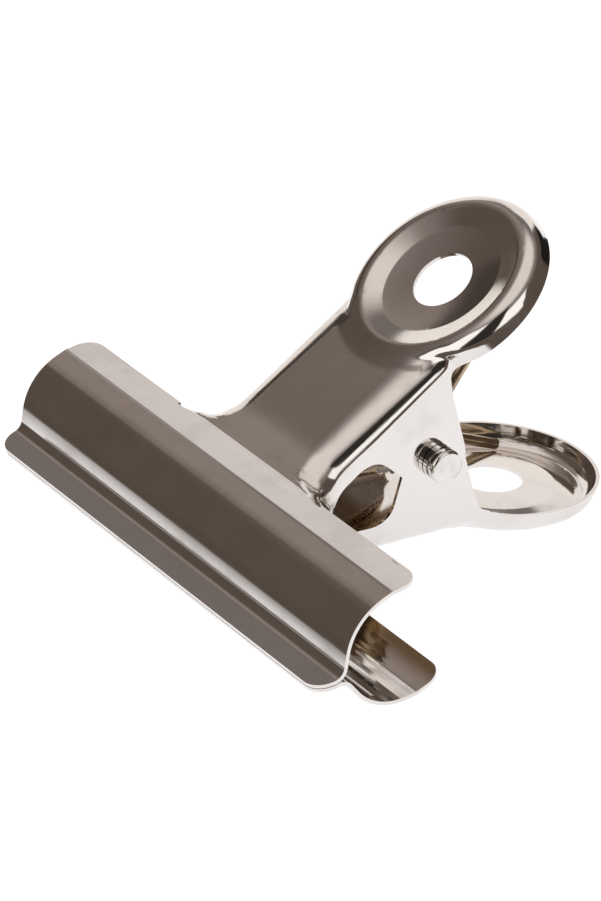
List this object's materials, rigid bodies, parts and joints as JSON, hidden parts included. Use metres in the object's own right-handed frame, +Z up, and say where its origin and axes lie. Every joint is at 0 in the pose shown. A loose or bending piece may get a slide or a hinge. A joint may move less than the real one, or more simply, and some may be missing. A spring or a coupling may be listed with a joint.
{
  "type": "bulldog clip",
  "caption": "Sprung bulldog clip: two bright pressed-steel jaws with round barrels, flat lips and dished finger discs, hinged on a headed pin with a torsion spring.",
  "frame": {"origin": "middle of the clip's footprint, on the table that it lies on", "axes": "+X along the jaws, +Y from the lips back to the finger discs, +Z up; the clip lies on its lower barrel and lower disc"},
  "size_m": [0.076, 0.0658, 0.0412],
  "materials": {
    "nickel_plate": "bright nickel plate on pressed steel",
    "pin_steel": "bright nickel plate on turned steel",
    "spring_steel": "drawn spring wire"
  },
  "bodies": {
    "lower_lever": {"lower_jaw": "nickel_plate", "torsion_spring": "spring_steel"},
    "upper_lever": {"upper_jaw": "nickel_plate", "pivot_pin": "pin_steel"}
  },
  "joints": [
    {"name": "jaw_hinge", "type": "hinge", "parent": "lower_lever", "child": "upper_lever", "pos_m": [0, 0.00296, 0.01438], "axis": [-1, 0, 0], "range_deg": [0, 68], "stiffness_Nm_per_rad": 0.42, "springref_deg": -68.75, "deforming": ["torsion_spring"]}
  ]
}
